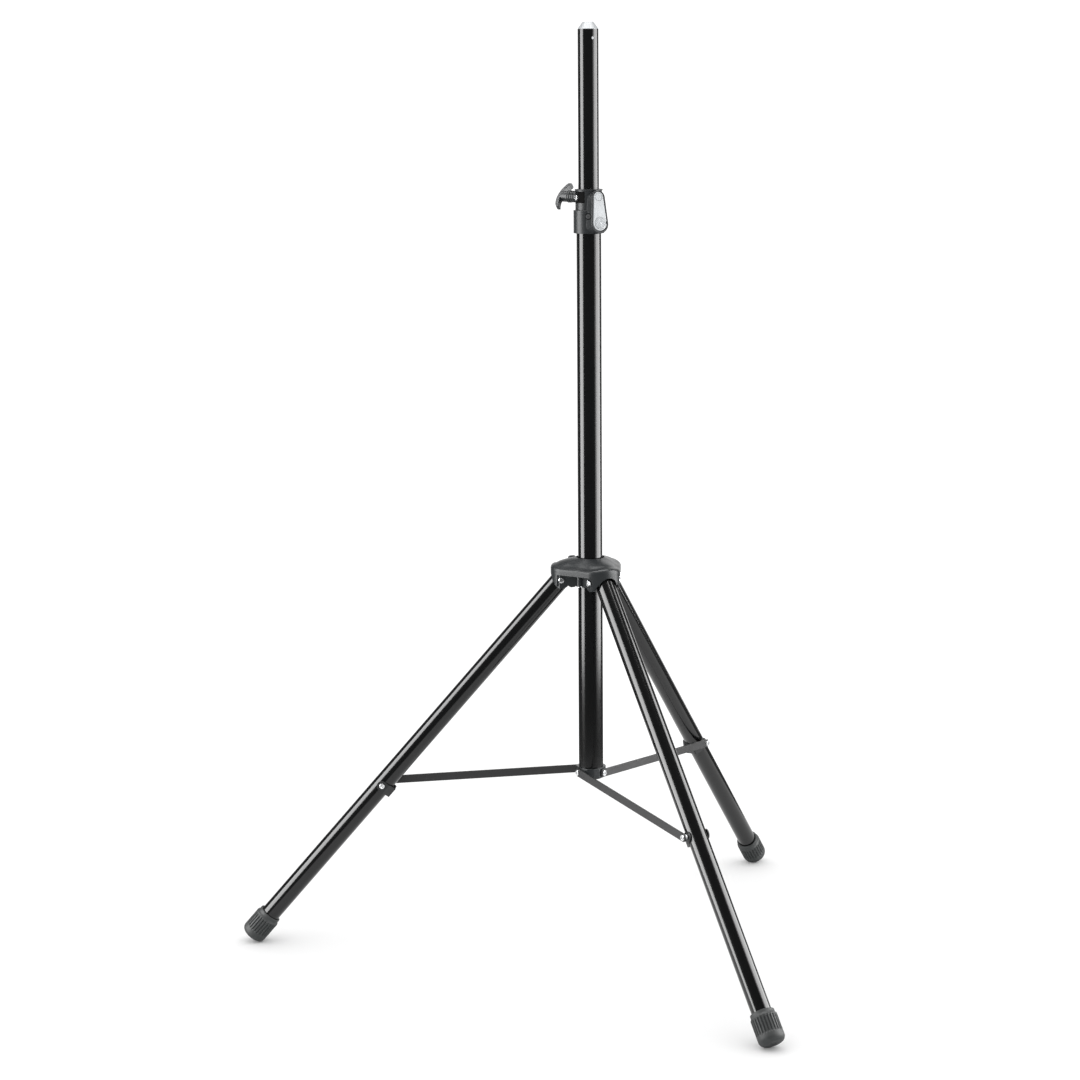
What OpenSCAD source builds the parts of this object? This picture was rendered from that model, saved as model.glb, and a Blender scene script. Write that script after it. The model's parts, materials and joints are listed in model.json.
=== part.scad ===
// Speaker tripod stand: a telescopic pole in a mast, a sliding hub and three folding legs with struts.
// Millimetres, +Z up. The origin is on the floor, on the axis of the mast.

/* [Speaker pole] */
// Outside diameter of the pole that a speaker sits on
pole_d = 35; // [34.8:0.1:35.1]
// Wall of the pole
pole_wall = 2; // [1.5:0.5:3]
// Height of the pole's rim above the floor, as set
pole_rim_z = 1577.7; // [1340:10:1900]
// Length of the pole
pole_len = 1012; // [900:1:1015]
// Height of the tapered plug above the rim
plug_h = 12; // [6:1:20]

/* [Mast] */
// Outside diameter of the mast
mast_d = 42; // [41.9:0.1:42.1]
// Wall of the mast
mast_wall = 2; // [1.8:0.1:2]
// Lower end of the mast
mast_low_z = 306; // [306:0.5:307]

/* [Clamp housing] */
// Underside of the housing
housing_low_z = 1241.3; // [1240.3:0.5:1242.3]
// Height of the wide lower sleeve
sleeve_h = 38.4; // [37.4:0.5:39.4]
// Top of the housing
housing_top_z = 1314.5; // [1313.5:0.5:1315.5]
// Outside diameter of the lower sleeve
sleeve_d = 51.5; // [51:0.5:53]
// Outside diameter of the upper collar
upper_d = 45; // [44.5:0.5:46]

/* [Hub] */
// Distance of each leg's pivot from the mast's axis
pivot_r = 48.3; // [48:0.1:49]
// Radius of each lobe of the cover
lobe_r = 36; // [35.5:0.5:37]
// Distance of each lobe's centre from the mast's axis
lobe_at = 32; // [31.5:0.5:32.5]
// Height of the cover
cover_h = 29; // [28:0.5:30]

/* [Legs] */
// Outside diameter of a leg
leg_d = 33; // [32:0.5:33]
// Wall of a leg
leg_wall = 1.5; // [1.2:0.1:2]
// Angle of a leg from the vertical when it is folded out
leg_angle = 40.634; // [38:0.5:42]
// Pivot to the rim of the foot cap
leg_rim = 794.4; // [780:1:800]
// Pivot to the bracket's rivet
bracket_at = 483.1; // [470:1:495]
// Length of a foot cap
cap_len = 53.6; // [50:1:56]
// Largest radius of a foot cap
cap_r = 22; // [21.5:0.1:22]

/* [Struts] */
// Width of a strut
strut_w = 14; // [12:1:14]
// Thickness of a strut
strut_t = 3; // [2.5:0.5:3]
// Height of the struts' pivots on the bottom collar
strut_z = 312; // [311:0.5:313]

/* [Hidden] */
$fn = 64;
LEGS = [0, 1, 2];

black = [0.06, 0.06, 0.065];
graphite = [0.2, 0.215, 0.225];
strut_grey = [0.34, 0.34, 0.35];
light_grey = [0.8, 0.82, 0.83];
silver = [0.85, 0.86, 0.87];
brass = [0.8, 0.65, 0.35];

// running clearance on a radius, and the gap kept between parts that only pass each other
run = 0.1;
gap = 0.3;
// a straight flank stops this far inside the circle that it runs into
graze = 0.02;

pole_r = pole_d / 2;
pole_low_z = pole_rim_z - pole_len;
mast_r = mast_d / 2;
mast_bore = mast_r - mast_wall;
mast_top_z = housing_low_z + sleeve_h - 4;

// a scribed ring marks the lowest setting of the pole, just above the housing
mark_z = housing_top_z + 2;
mark_w = 0.8;
mark_depth = 0.25;
// the row of locking holes, which stays inside the mast as drawn
lock_hole_r = 4;
lock_pitch = 100;
lock_first_z = pole_low_z + 130;
lock_holes = 6;

// the legs stand at 180, 300 and 60 degrees, seen from above
leg_az = [180, 300, 60];
leg_r = leg_d / 2;
leg_bore = leg_r - leg_wall;
leg_over = 11;
foot_end = leg_rim + cap_len;
cap_round = 10;
pivot_z = (foot_end - cap_round) * cos(leg_angle) + (cap_r - cap_round) * sin(leg_angle) + cap_round;

// the foot cap's rim, and its flutes
cap_rim_r = 20;
flutes = 26;

// the lever faces the front-right leg's side, the knobs face away from it
lever_az = 300;
clamp_az = 150;
hub_knob_az = 120;
lever_low_z = 1259.3;
lever_mid_r = 38;
lever_tilt = 7;
lever_span = 43.5;
lever_top_r = 8.5;
lever_low_r = 12.5;
lever_half = 2.5;
lever_pin_in = -1;
pocket_floor = -6;
block_face = 2;
block_low_r = 16;
block_top_r = 12.5;
pocket_gap = 1;
clamp_z = 1301.4;

// the hub's cheek plates stand on both sides of each leg
cheek_in = 19.5;
cheek_out = 27;
cheek_r = 15;
hub_sleeve_r = 26.5;
hub_bush_r = 22.6;
rim_z = pivot_z + 9;
bolt_r = 3;
cover_wall = 2.6;
dome_r = 158;

// the struts pass the legs on the clockwise side
bracket_out = leg_r + 2;
web_out = 22;
web_in = 20;
bracket_r = 9;
strut_mid = 25;
strut_in = strut_mid - strut_t / 2;
strut_out = strut_mid + strut_t / 2;
rivet_r = 3;
rivet_head_r = 5;
outer_r = pivot_r + bracket_at * sin(leg_angle);
outer_z = pivot_z - bracket_at * cos(leg_angle);
strut_len = norm([outer_r, strut_z - outer_z]);
strut_drop = atan2(strut_z - outer_z, outer_r);

// the bottom collar: a flat for each strut, cut back where the folded feet come down
collar_r = 26.3;
collar_flat = 23.2;
collar_cut = 25.2;
collar_low_z = 303;
collar_top_z = 321.5;

// +X outwards from the mast's axis at an azimuth
module outwards(az) {
    rotate([0, 0, az])
        children();
}

// +Z outwards from the mast's axis at an azimuth and a height, +Y up
module radial(az, z) {
    outwards(az)
        translate([0, 0, z])
            rotate([90, 0, 90])
                children();
}

// +Z down a leg from its pivot, +Y along the pivot's axis, +X towards the mast
module along_leg(k) {
    outwards(leg_az[k])
        translate([pivot_r, 0, pivot_z])
            rotate([0, 180 - leg_angle, 0])
                children();
}

// +Z along a strut from the collar outwards, +Y along the pivot's axis
module along_strut(k) {
    outwards(leg_az[k])
        translate([0, 0, strut_z])
            rotate([0, 90 + strut_drop, 0])
                children();
}

// the lever's face: X along its pin, Y up the face, +Z out of the face
module on_lever() {
    radial(lever_az, lever_low_z)
        translate([0, 0, lever_mid_r])
            rotate([-lever_tilt, 0, 0])
                children();
}

// a cylinder along the lever's pin, as long to one side as to the other
module along_pin(r, half) {
    on_lever()
        translate([-half, lever_span, lever_pin_in])
            rotate([0, 90, 0])
                cylinder(r = r, h = 2 * half);
}

// a cylinder along Y from one place to another
module cross(r, from, to, sides = 64) {
    translate([0, to, 0])
        rotate([90, 0, 0])
            cylinder(r = r, h = to - from, $fn = sides);
}

module tube(r, bore, low, high) {
    translate([0, 0, low])
        difference() {
            cylinder(r = r, h = high - low);
            translate([0, 0, -1])
                cylinder(r = bore, h = high - low + 2);
        }
}

// two circles of different radius, one above the other, and the straight flanks just inside both
module teardrop(low_r, low_y, top_r, top_y) {
    slope = asin((low_r - top_r) / (top_y - low_y));
    flank_low = low_r - graze;
    flank_top = top_r - graze;
    translate([0, low_y])
        circle(r = low_r);
    translate([0, top_y])
        circle(r = top_r);
    polygon([
        for (s = [1, -1]) [s * flank_low * cos(slope), low_y + flank_low * sin(slope)],
        for (s = [-1, 1]) [s * flank_top * cos(slope), top_y + flank_top * sin(slope)]
    ]);
}

// a flat bar's outline with round ends, from the origin along +X
module bar_outline(width, length) {
    circle(d = width);
    translate([length, 0])
        circle(d = width);
    translate([0, -width / 2])
        square([length, width]);
}

// ---------------------------------------------------------------- mast

module mast_tube() {
    color(black)
        difference() {
            tube(mast_r, mast_bore, mast_low_z, mast_top_z);
            for (k = LEGS)
                outwards(leg_az[k])
                    translate([0, 0, strut_z])
                        cross(rivet_r, -mast_r - 1, -mast_bore + 1);
            lock_pin_slot(mast_bore - 1, mast_r + 1, 5.2);
            for (az = screw_az)
                radial(az, screw_z)
                    translate([0, 0, mast_bore - 1])
                        cylinder(r = screw_r, h = mast_wall + 2);
        }
}

module mast_end_plug() {
    color(black)
        translate([0, 0, mast_low_z])
            cylinder(r = mast_bore, h = 6);
}

module collar_outline() {
    intersection() {
        circle(r = collar_r);
        intersection_for(az = [0:60:300])
            rotate(az)
                translate([collar_cut - 100, -50])
                    square(100);
        intersection_for(az = leg_az)
            rotate(az - 90)
                translate([collar_flat - 100, -50])
                    square(100);
    }
}

module bottom_collar() {
    color(graphite)
        difference() {
            translate([0, 0, collar_low_z])
                linear_extrude(collar_top_z - collar_low_z)
                    collar_outline();
            translate([0, 0, mast_low_z])
                cylinder(r = mast_r, h = 40);
            for (k = LEGS)
                outwards(leg_az[k])
                    translate([0, 0, strut_z])
                        cross(rivet_r, -collar_flat - 1, -mast_r + 1);
        }
}

module collar_rivets() {
    color(silver)
        for (k = LEGS)
            outwards(leg_az[k])
                translate([0, 0, strut_z])
                    difference() {
                        union() {
                            cross(rivet_r, -strut_out - gap, -mast_bore);
                            cross(rivet_head_r, -strut_out - gap - 2, -strut_out - gap);
                        }
                        cross(rivet_r / 2, -strut_out - gap - 3, -strut_out - gap - 1);
                    }
}

// ---------------------------------------------------------------- clamp housing

screw_az = [90, 270];
screw_z = housing_low_z + 29;
screw_r = 2;
screw_head_r = 4;

// the opening that the lock pin swings through, from one radius to another
module lock_pin_slot(from, to, r) {
    radial(lever_az, lever_low_z)
        translate([0, 0, from])
            linear_extrude(to - from) {
                circle(r = r);
                translate([0, -5])
                    circle(r = r);
                translate([-r, -5])
                    square([2 * r, 5]);
            }
}

module housing_block() {
    intersection() {
        on_lever()
            translate([0, 0, -20])
                linear_extrude(20 + block_face)
                    teardrop(block_low_r, -1, block_top_r, lever_span - 1.5);
        translate([0, 0, housing_low_z + 0.5])
            cylinder(r = 60, h = 80);
    }
}

module lever_pocket() {
    on_lever()
        translate([0, 0, pocket_floor])
            linear_extrude(20)
                teardrop(lever_low_r + pocket_gap, 0, lever_top_r + pocket_gap, lever_span);
}

module knob_boss() {
    radial(clamp_az, clamp_z)
        translate([0, 0, pole_r])
            cylinder(r = 9, h = 33 - pole_r);
}

module clamp_housing() {
    color(graphite)
        difference() {
            union() {
                translate([0, 0, housing_low_z])
                    cylinder(d = sleeve_d, h = sleeve_h);
                translate([0, 0, housing_low_z + sleeve_h - 1])
                    cylinder(d = upper_d, h = housing_top_z - housing_low_z - sleeve_h + 1);
                translate([0, 0, housing_top_z - 2])
                    cylinder(d = upper_d + 2, h = 2);
                housing_block();
                knob_boss();
            }
            translate([0, 0, housing_low_z - 30])
                cylinder(r = mast_r, h = mast_top_z - housing_low_z + 30);
            translate([0, 0, mast_top_z - 1])
                cylinder(r = bush_r, h = 80);
            lever_pocket();
            along_pin(lever_pin_r, 11);
            lock_pin_slot(mast_bore, lever_mid_r, 4.6);
            radial(clamp_az, clamp_z)
                cylinder(r = insert_r, h = 40);
            for (az = screw_az)
                radial(az, screw_z) {
                    cylinder(r = screw_r, h = 40);
                    translate([0, 0, sleeve_d / 2 - 2])
                        cylinder(r = screw_head_r, h = 10);
                }
        }
}

bush_r = 20;
module clamp_bush() {
    color(black)
        difference() {
            tube(bush_r, pole_r + run, mast_top_z, housing_top_z);
            radial(clamp_az, clamp_z)
                cylinder(r = clamp_screw_r + 0.5, h = 40);
        }
}

insert_r = 5;
clamp_screw_r = 3;
module clamp_insert() {
    color(brass)
        radial(clamp_az, clamp_z)
            tube(insert_r, clamp_screw_r + run, 22, 32);
}

module housing_screws() {
    color(silver)
        for (az = screw_az)
            radial(az, screw_z)
                difference() {
                    union() {
                        translate([0, 0, mast_bore + 0.5])
                            cylinder(r = screw_r, h = sleeve_d / 2 - 2 - mast_bore - 0.5);
                        translate([0, 0, sleeve_d / 2 - 2])
                            cylinder(r = screw_head_r, h = 1.6);
                    }
                    translate([0, 0, sleeve_d / 2 - 1.4])
                        cylinder(r = 2, h = 5, $fn = 6);
                }
}

// ---------------------------------------------------------------- safety lever

lever_pin_r = 2;
lock_pin_r = 3.8;
lock_pin_end = 36.5;
button_r = 9.5;
button_floor = 1;
eye_r = 3.4;
eye_half = 3.4;
wire_r = 0.4;
coil_r = lever_pin_r + 0.1 + wire_r;
coil_turns = 4;

module lever_pin() {
    color(silver)
        along_pin(lever_pin_r, 11);
}

// two short coils on the lever's pin, one on each side of its eye
module lever_spring() {
    color(silver)
        on_lever()
            translate([0, lever_span, lever_pin_in])
                for (s = [-1, 1], i = [0:coil_turns - 1])
                    translate([s * (eye_half + 0.5 + wire_r + i * 1.95 * wire_r), 0, 0])
                        rotate([0, 90, 0])
                            rotate_extrude()
                                translate([coil_r, 0])
                                    circle(r = wire_r, $fn = 24);
}

module safety_lever() {
    color(light_grey)
        difference() {
            union() {
                on_lever()
                    difference() {
                        union() {
                            translate([0, 0, -lever_half])
                                linear_extrude(2 * lever_half)
                                    teardrop(lever_low_r, 0, lever_top_r, lever_span);
                            translate([0, 0, -lever_half - 2])
                                cylinder(r = 6, h = 3);
                        }
                        for (s = [-1, 1])
                            translate([s * (eye_half + 1.9) - 2.2, lever_span - 3.2, -9])
                                cube([4.4, 6.4, 11.1]);
                    }
                along_pin(eye_r, eye_half);
            }
            along_pin(lever_pin_r + run, 20);
            radial(lever_az, lever_low_z)
                cylinder(r = lock_pin_r, h = lock_pin_end);
            on_lever()
                translate([0, 0, button_floor])
                    cylinder(r = button_r, h = 10);
        }
}

// the thumb button is a disc with ring grooves
module lever_button() {
    color(light_grey)
        on_lever()
            translate([0, 0, button_floor])
                rotate_extrude()
                    difference() {
                        square([button_r, 2.6]);
                        translate([0, 2])
                            square([2, 2]);
                        translate([4, 2])
                            square([1.5, 2]);
                        translate([7, 2])
                            square([1, 2]);
                    }
}

module lock_pin() {
    color(silver)
        radial(lever_az, lever_low_z)
            translate([0, 0, pole_r + gap])
                cylinder(r = lock_pin_r, h = lock_pin_end - pole_r - gap);
}

// ---------------------------------------------------------------- pole

module pole_tube() {
    color(black)
        difference() {
            tube(pole_r, pole_r - pole_wall, pole_low_z, pole_rim_z);
            tube(pole_r + 5, pole_r - mark_depth, mark_z, mark_z + mark_w);
            for (i = [0:lock_holes - 1])
                radial(lever_az, lock_first_z + i * lock_pitch)
                    cylinder(r = lock_hole_r, h = 40);
            radial(lever_az, pole_rim_z - 14.5)
                cylinder(r = 2.6, h = 40);
        }
}

module pole_plug() {
    stem_r = pole_r - pole_wall;
    color(light_grey) {
        translate([0, 0, pole_rim_z])
            cylinder(r1 = pole_r, r2 = 9, h = plug_h);
        translate([0, 0, pole_rim_z - 22])
            cylinder(r = stem_r, h = 22);
        radial(lever_az, pole_rim_z - 14.5)
            translate([0, 0, stem_r - 3])
                cylinder(r = 2.6, h = 3 + pole_wall - 0.4);
    }
}

module pole_bush() {
    stem_r = pole_r - pole_wall;
    color(black) {
        tube(mast_bore - run, pole_r, pole_low_z, pole_low_z + 30);
        tube(mast_bore - run, stem_r - 2, pole_low_z - 2, pole_low_z);
        tube(stem_r, stem_r - 2, pole_low_z - 1, pole_low_z + 14);
    }
}

// ---------------------------------------------------------------- knobs

wing_half = 22;
wing_r = 6;
wing_depth = 6.5;

// a T-shaped knob on +Z: barrel, flange and a bowed wing, from base to top
module wing_knob(base, top, shank_r) {
    bow_r = 55;
    difference() {
        union() {
            translate([0, 0, base])
                cylinder(r = 9.25, h = top - base - wing_depth + 1);
            translate([0, 0, base + 3])
                cylinder(r = 10.5, h = 2);
            intersection() {
                translate([0, 0, base])
                    linear_extrude(top - base)
                        translate([0, -wing_half])
                            rotate(90)
                                bar_outline(2 * wing_r, 2 * wing_half);
                translate([50, 0, top - bow_r])
                    rotate([0, -90, 0])
                        difference() {
                            cylinder(r = bow_r, h = 100, $fn = 96);
                            translate([-wing_depth, 0, -1])
                                cylinder(r = bow_r, h = 102, $fn = 96);
                        }
            }
        }
        translate([0, 0, base - 1])
            cylinder(r = shank_r, h = 8);
    }
}

clamp_knob_base = 34;
clamp_knob_top = 58;
clamp_knob_turn = 50;
module clamp_knob() {
    color(graphite)
        radial(clamp_az, clamp_z)
            rotate(clamp_knob_turn)
                wing_knob(clamp_knob_base, clamp_knob_top, clamp_screw_r);
}

module clamp_screw() {
    color(silver)
        radial(clamp_az, clamp_z)
            translate([0, 0, pole_r + gap])
                cylinder(r = clamp_screw_r, h = clamp_knob_base + 7 - pole_r - gap);
}

hub_knob_base = 53;
hub_knob_top = 77;
module hub_knob() {
    color(graphite)
        radial(hub_knob_az, pivot_z)
            wing_knob(hub_knob_base, hub_knob_top, clamp_screw_r);
}

module hub_screw() {
    color(silver)
        radial(hub_knob_az, pivot_z)
            translate([0, 0, mast_r + gap])
                cylinder(r = clamp_screw_r, h = hub_knob_base + 7 - mast_r - gap);
}

// ---------------------------------------------------------------- hub

hub_low_z = pivot_z - 14;
hub_screw_az = [0, 240];
post_at = 34;
post_r = 5;

// one cheek plate of a leg, with a round end that stays inside the cover's lobe
module cheek(side) {
    floor_z = -10;
    intersection() {
        translate([0, side > 0 ? cheek_out : -cheek_in, pivot_z])
            rotate([90, 0, 0])
                linear_extrude(cheek_out - cheek_in)
                    intersection() {
                        union() {
                            translate([pivot_r, 0])
                                circle(r = cheek_r);
                            translate([12, floor_z])
                                square([pivot_r - 12, 9 - floor_z]);
                        }
                        translate([0, -30])
                            square([100, 39]);
                    }
        translate([lobe_at, 0, pivot_z - 30])
            cylinder(r = lobe_r - cover_wall, h = 60);
    }
}

module hub_body() {
    color(graphite)
        difference() {
            union() {
                translate([0, 0, hub_low_z])
                    cylinder(r = hub_sleeve_r, h = rim_z - hub_low_z);
                for (k = LEGS)
                    outwards(leg_az[k]) {
                        cheek(1);
                        cheek(-1);
                        translate([pivot_r, 0, pivot_z]) {
                            cross(8, leg_r + 0.5, cheek_in + 1);
                            cross(8, -cheek_in - 1, -leg_r - 0.5);
                        }
                    }
                for (az = hub_screw_az)
                    outwards(az)
                        translate([post_at, 0, pivot_z - 10])
                            cylinder(r = post_r, h = rim_z - pivot_z + 10);
                radial(hub_knob_az, pivot_z)
                    translate([0, 0, hub_bush_r])
                        cylinder(r = 8, h = hub_knob_base - 1 - hub_bush_r);
            }
            translate([0, 0, hub_low_z - 1])
                cylinder(r = hub_bush_r, h = 60);
            for (k = LEGS)
                outwards(leg_az[k])
                    translate([pivot_r, 0, pivot_z])
                        cross(bolt_r, -40, 40);
            radial(hub_knob_az, pivot_z)
                cylinder(r = insert_r, h = 60);
            for (az = hub_screw_az)
                outwards(az)
                    translate([post_at, 0, hub_low_z])
                        cylinder(r = 2, h = 60);
        }
}

// three round lobes joined by straight sides, under one shallow dome
module lobes(r, h, dome) {
    side = r - graze;
    intersection() {
        union() {
            for (k = LEGS)
                outwards(leg_az[k])
                    translate([lobe_at, 0, 0])
                        cylinder(r = r, h = h);
            linear_extrude(h)
                polygon([
                    for (az = leg_az, s = [-60, 60])
                        [lobe_at * cos(az) + side * cos(az + s), lobe_at * sin(az) + side * sin(az + s)]
                ]);
        }
        translate([0, 0, h - dome])
            sphere(r = dome, $fn = 128);
    }
}

// the cover's end wall hangs down beside each leg
module skirt(k) {
    outwards(leg_az[k])
        intersection() {
            translate([lobe_at, 0, -22])
                difference() {
                    cylinder(r = lobe_r, h = 23);
                    translate([0, 0, -1])
                        cylinder(r = lobe_r - cover_wall, h = 25);
                }
            for (y = [leg_r + 0.8, -cheek_out])
                translate([lobe_at, y, -22])
                    cube([60, cheek_out - leg_r - 0.8, 22]);
        }
}

module hub_cover() {
    color(graphite)
        translate([0, 0, rim_z])
            difference() {
                union() {
                    lobes(lobe_r, cover_h, dome_r);
                    for (k = LEGS)
                        skirt(k);
                }
                difference() {
                    translate([0, 0, -0.01])
                        lobes(lobe_r - cover_wall, cover_h - cover_wall, dome_r - cover_wall);
                    cylinder(r = 24.5, h = 60, center = true);
                    for (az = hub_screw_az)
                        outwards(az)
                            translate([post_at, 0, -1])
                                cylinder(r = post_r, h = 60);
                }
                translate([0, 0, -1])
                    cylinder(r = mast_r + 0.6, h = 60);
                for (az = hub_screw_az)
                    outwards(az)
                        translate([post_at, 0, -1])
                            cylinder(r = 2, h = 11);
            }
}

module hub_cover_screws() {
    color(silver)
        for (az = hub_screw_az)
            outwards(az)
                translate([post_at, 0, pivot_z - 10]) {
                    translate([0, 0, -2])
                        cylinder(r = 3.5, h = 2);
                    cylinder(r = 2, h = 28);
                }
}

module hub_bush() {
    color(black)
        difference() {
            tube(hub_bush_r, mast_r + run, hub_low_z, rim_z);
            radial(hub_knob_az, pivot_z)
                cylinder(r = clamp_screw_r + 0.5, h = 40);
        }
}

module hub_bolts() {
    color(silver)
        for (k = LEGS)
            outwards(leg_az[k])
                translate([pivot_r, 0, pivot_z]) {
                    cross(bolt_r, -cheek_out - 5, cheek_out);
                    difference() {
                        cross(5, cheek_out, cheek_out + 3.5);
                        cross(2.4, cheek_out + 1.5, cheek_out + 5, 6);
                    }
                }
}

module hub_nuts() {
    color(silver)
        for (k = LEGS)
            outwards(leg_az[k])
                translate([pivot_r, 0, pivot_z])
                    difference() {
                        cross(5.6, -cheek_out - 4.5, -cheek_out, 6);
                        cross(bolt_r, -cheek_out - 6, -cheek_out + 1);
                    }
}

module hub_insert() {
    color(brass)
        radial(hub_knob_az, pivot_z)
            tube(insert_r, clamp_screw_r + run, hub_bush_r, 36);
}

// ---------------------------------------------------------------- legs

module leg_tube(k) {
    color(black)
        along_leg(k)
            difference() {
                tube(leg_r, leg_bore, -leg_over, foot_end - 10);
                cross(bolt_r + gap, -leg_r - 1, leg_r + 1);
                translate([0, 0, bracket_at])
                    cross(rivet_r, -leg_r - 1, leg_r + 1);
            }
}

module leg_plug(k) {
    color(black)
        along_leg(k)
            difference() {
                translate([0, 0, -leg_over])
                    cylinder(r = leg_bore, h = leg_over + 14);
                cross(bolt_r + run, -leg_r, leg_r);
            }
}

// a U-shaped saddle: two round-ended cheeks beside the tube, joined by a web under it
module leg_bracket(k) {
    color(graphite)
        along_leg(k)
            translate([0, 0, bracket_at])
                difference() {
                    union() {
                        for (side = [leg_r, -bracket_out]) {
                            cross(bracket_r, side, side + 2);
                            translate([0, side, -bracket_r])
                                cube([web_out, 2, 2 * bracket_r]);
                        }
                        translate([web_in, -bracket_out, -bracket_r])
                            cube([web_out - web_in, 2 * bracket_out, 2 * bracket_r]);
                    }
                    cross(rivet_r, -30, 30);
                }
}

module bracket_rivet(k) {
    color(silver)
        along_leg(k)
            translate([0, 0, bracket_at])
                difference() {
                    union() {
                        cross(rivet_r, -bracket_out, bracket_out);
                        cross(4.5, bracket_out, bracket_out + 1.5);
                    }
                    cross(1.8, bracket_out - 6, bracket_out + 3);
                }
}

// a rubber cup with a rounded sole and lengthwise flutes
module foot_cap(k) {
    color(graphite)
        along_leg(k)
            translate([0, 0, leg_rim])
                difference() {
                    rotate_extrude() {
                        polygon([
                            [0, 0],
                            [cap_rim_r, 0],
                            [cap_rim_r, 6],
                            [cap_r, 9],
                            [cap_r, cap_len - cap_round],
                            [cap_r - cap_round, cap_len],
                            [0, cap_len]
                        ]);
                        translate([cap_r - cap_round, cap_len - cap_round])
                            circle(r = cap_round);
                    }
                    translate([0, 0, -1])
                        cylinder(r = leg_r, h = cap_len - 9);
                    for (i = [0:flutes - 1])
                        rotate([0, 0, i * 360 / flutes])
                            translate([cap_r + 0.6, 0, 10])
                                cylinder(r = 1.4, h = 27, $fn = 16);
                }
}

// ---------------------------------------------------------------- struts

module strut(k) {
    color(strut_grey)
        along_strut(k)
            translate([0, -strut_in, 0])
                rotate([90, 0, 0])
                    linear_extrude(strut_t)
                        rotate(90)
                            difference() {
                                bar_outline(strut_w, strut_len);
                                circle(r = rivet_r + run);
                                translate([strut_len, 0])
                                    circle(r = rivet_r);
                            }
}

// the outer rivet and its spacer, which stop just short of the bracket
module strut_rivet(k) {
    color(silver)
        along_strut(k)
            translate([0, 0, strut_len]) {
                cross(rivet_head_r, -strut_in, -bracket_out - gap);
                cross(rivet_r, -strut_out, -strut_in);
                cross(rivet_head_r, -strut_out - 2, -strut_out);
            }
}

mast_tube();
mast_end_plug();
bottom_collar();
collar_rivets();
clamp_housing();
clamp_bush();
clamp_insert();
housing_screws();
lever_pin();
lever_spring();
pole_tube();
pole_plug();
pole_bush();
clamp_knob();
clamp_screw();
safety_lever();
lever_button();
lock_pin();
hub_body();
hub_cover();
hub_cover_screws();
hub_bush();
hub_bolts();
hub_nuts();
hub_insert();
hub_knob();
hub_screw();
for (k = LEGS) {
    leg_tube(k);
    leg_plug(k);
    leg_bracket(k);
    bracket_rivet(k);
    foot_cap(k);
    strut(k);
    strut_rivet(k);
}
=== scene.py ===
"""Finished pieces of a speaker tripod stand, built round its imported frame.

Shapes are modelled in millimetres and scaled to metres when they become a piece.
"""
import json
import math

import bmesh
import bpy
from bpy.props import FloatProperty, FloatVectorProperty, IntProperty, PointerProperty
from bpy.types import Operator, Panel, PropertyGroup
from mathutils import Matrix, Vector


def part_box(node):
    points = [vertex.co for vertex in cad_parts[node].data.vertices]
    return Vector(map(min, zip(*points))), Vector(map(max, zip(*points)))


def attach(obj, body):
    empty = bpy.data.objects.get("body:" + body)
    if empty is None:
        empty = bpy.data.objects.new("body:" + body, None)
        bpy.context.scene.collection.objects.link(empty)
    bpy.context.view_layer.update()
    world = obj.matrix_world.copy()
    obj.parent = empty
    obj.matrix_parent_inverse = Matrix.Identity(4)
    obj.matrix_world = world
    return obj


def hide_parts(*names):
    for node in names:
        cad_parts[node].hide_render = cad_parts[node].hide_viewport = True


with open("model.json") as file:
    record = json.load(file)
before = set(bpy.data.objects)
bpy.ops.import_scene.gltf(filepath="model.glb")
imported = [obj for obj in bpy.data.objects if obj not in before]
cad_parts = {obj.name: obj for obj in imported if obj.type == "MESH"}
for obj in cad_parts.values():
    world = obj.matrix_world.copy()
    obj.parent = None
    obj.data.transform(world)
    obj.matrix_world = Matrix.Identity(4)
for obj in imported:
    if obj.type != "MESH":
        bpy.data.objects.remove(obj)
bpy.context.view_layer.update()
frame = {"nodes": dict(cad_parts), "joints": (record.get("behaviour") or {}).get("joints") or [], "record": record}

bl_info = {
    "name": "Speaker Tripod Stand",
    "version": (1, 0, 0),
    "blender": (4, 5, 0),
    "location": "3D View > Sidebar > Stand",
    "description": "Builds the finished pieces of a speaker tripod stand round its frame",
    "category": "Add Mesh",
}

MM = 0.001
ROUND = 96
JOINTS = {joint["name"]: joint for joint in frame["joints"]}


# ---------------------------------------------------------------- sizes from the frame

def low(node):
    """Lowest corner of a frame node, in millimetres."""
    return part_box(node)[0] / MM


def high(node):
    """Highest corner of a frame node, in millimetres."""
    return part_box(node)[1] / MM


def centre(node):
    return (low(node) + high(node)) / 2


def pivot(joint):
    """A point on a hinge's axis, in millimetres."""
    return Vector(JOINTS[joint]["pos_m"]) / MM


def azimuth(point):
    return math.atan2(point.y, point.x)


MAST_R = high("mast_tube").x
MAST_LOW = low("mast_tube").z
MAST_TOP = high("mast_tube").z
TUBE_WALL = 2.0
POLE_R = high("pole_tube").x
POLE_LOW = low("pole_tube").z
POLE_RIM = high("pole_tube").z
HOUSING_TOP = high("clamp_housing").z
SCREW_Z = centre("housing_screws").z

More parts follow.
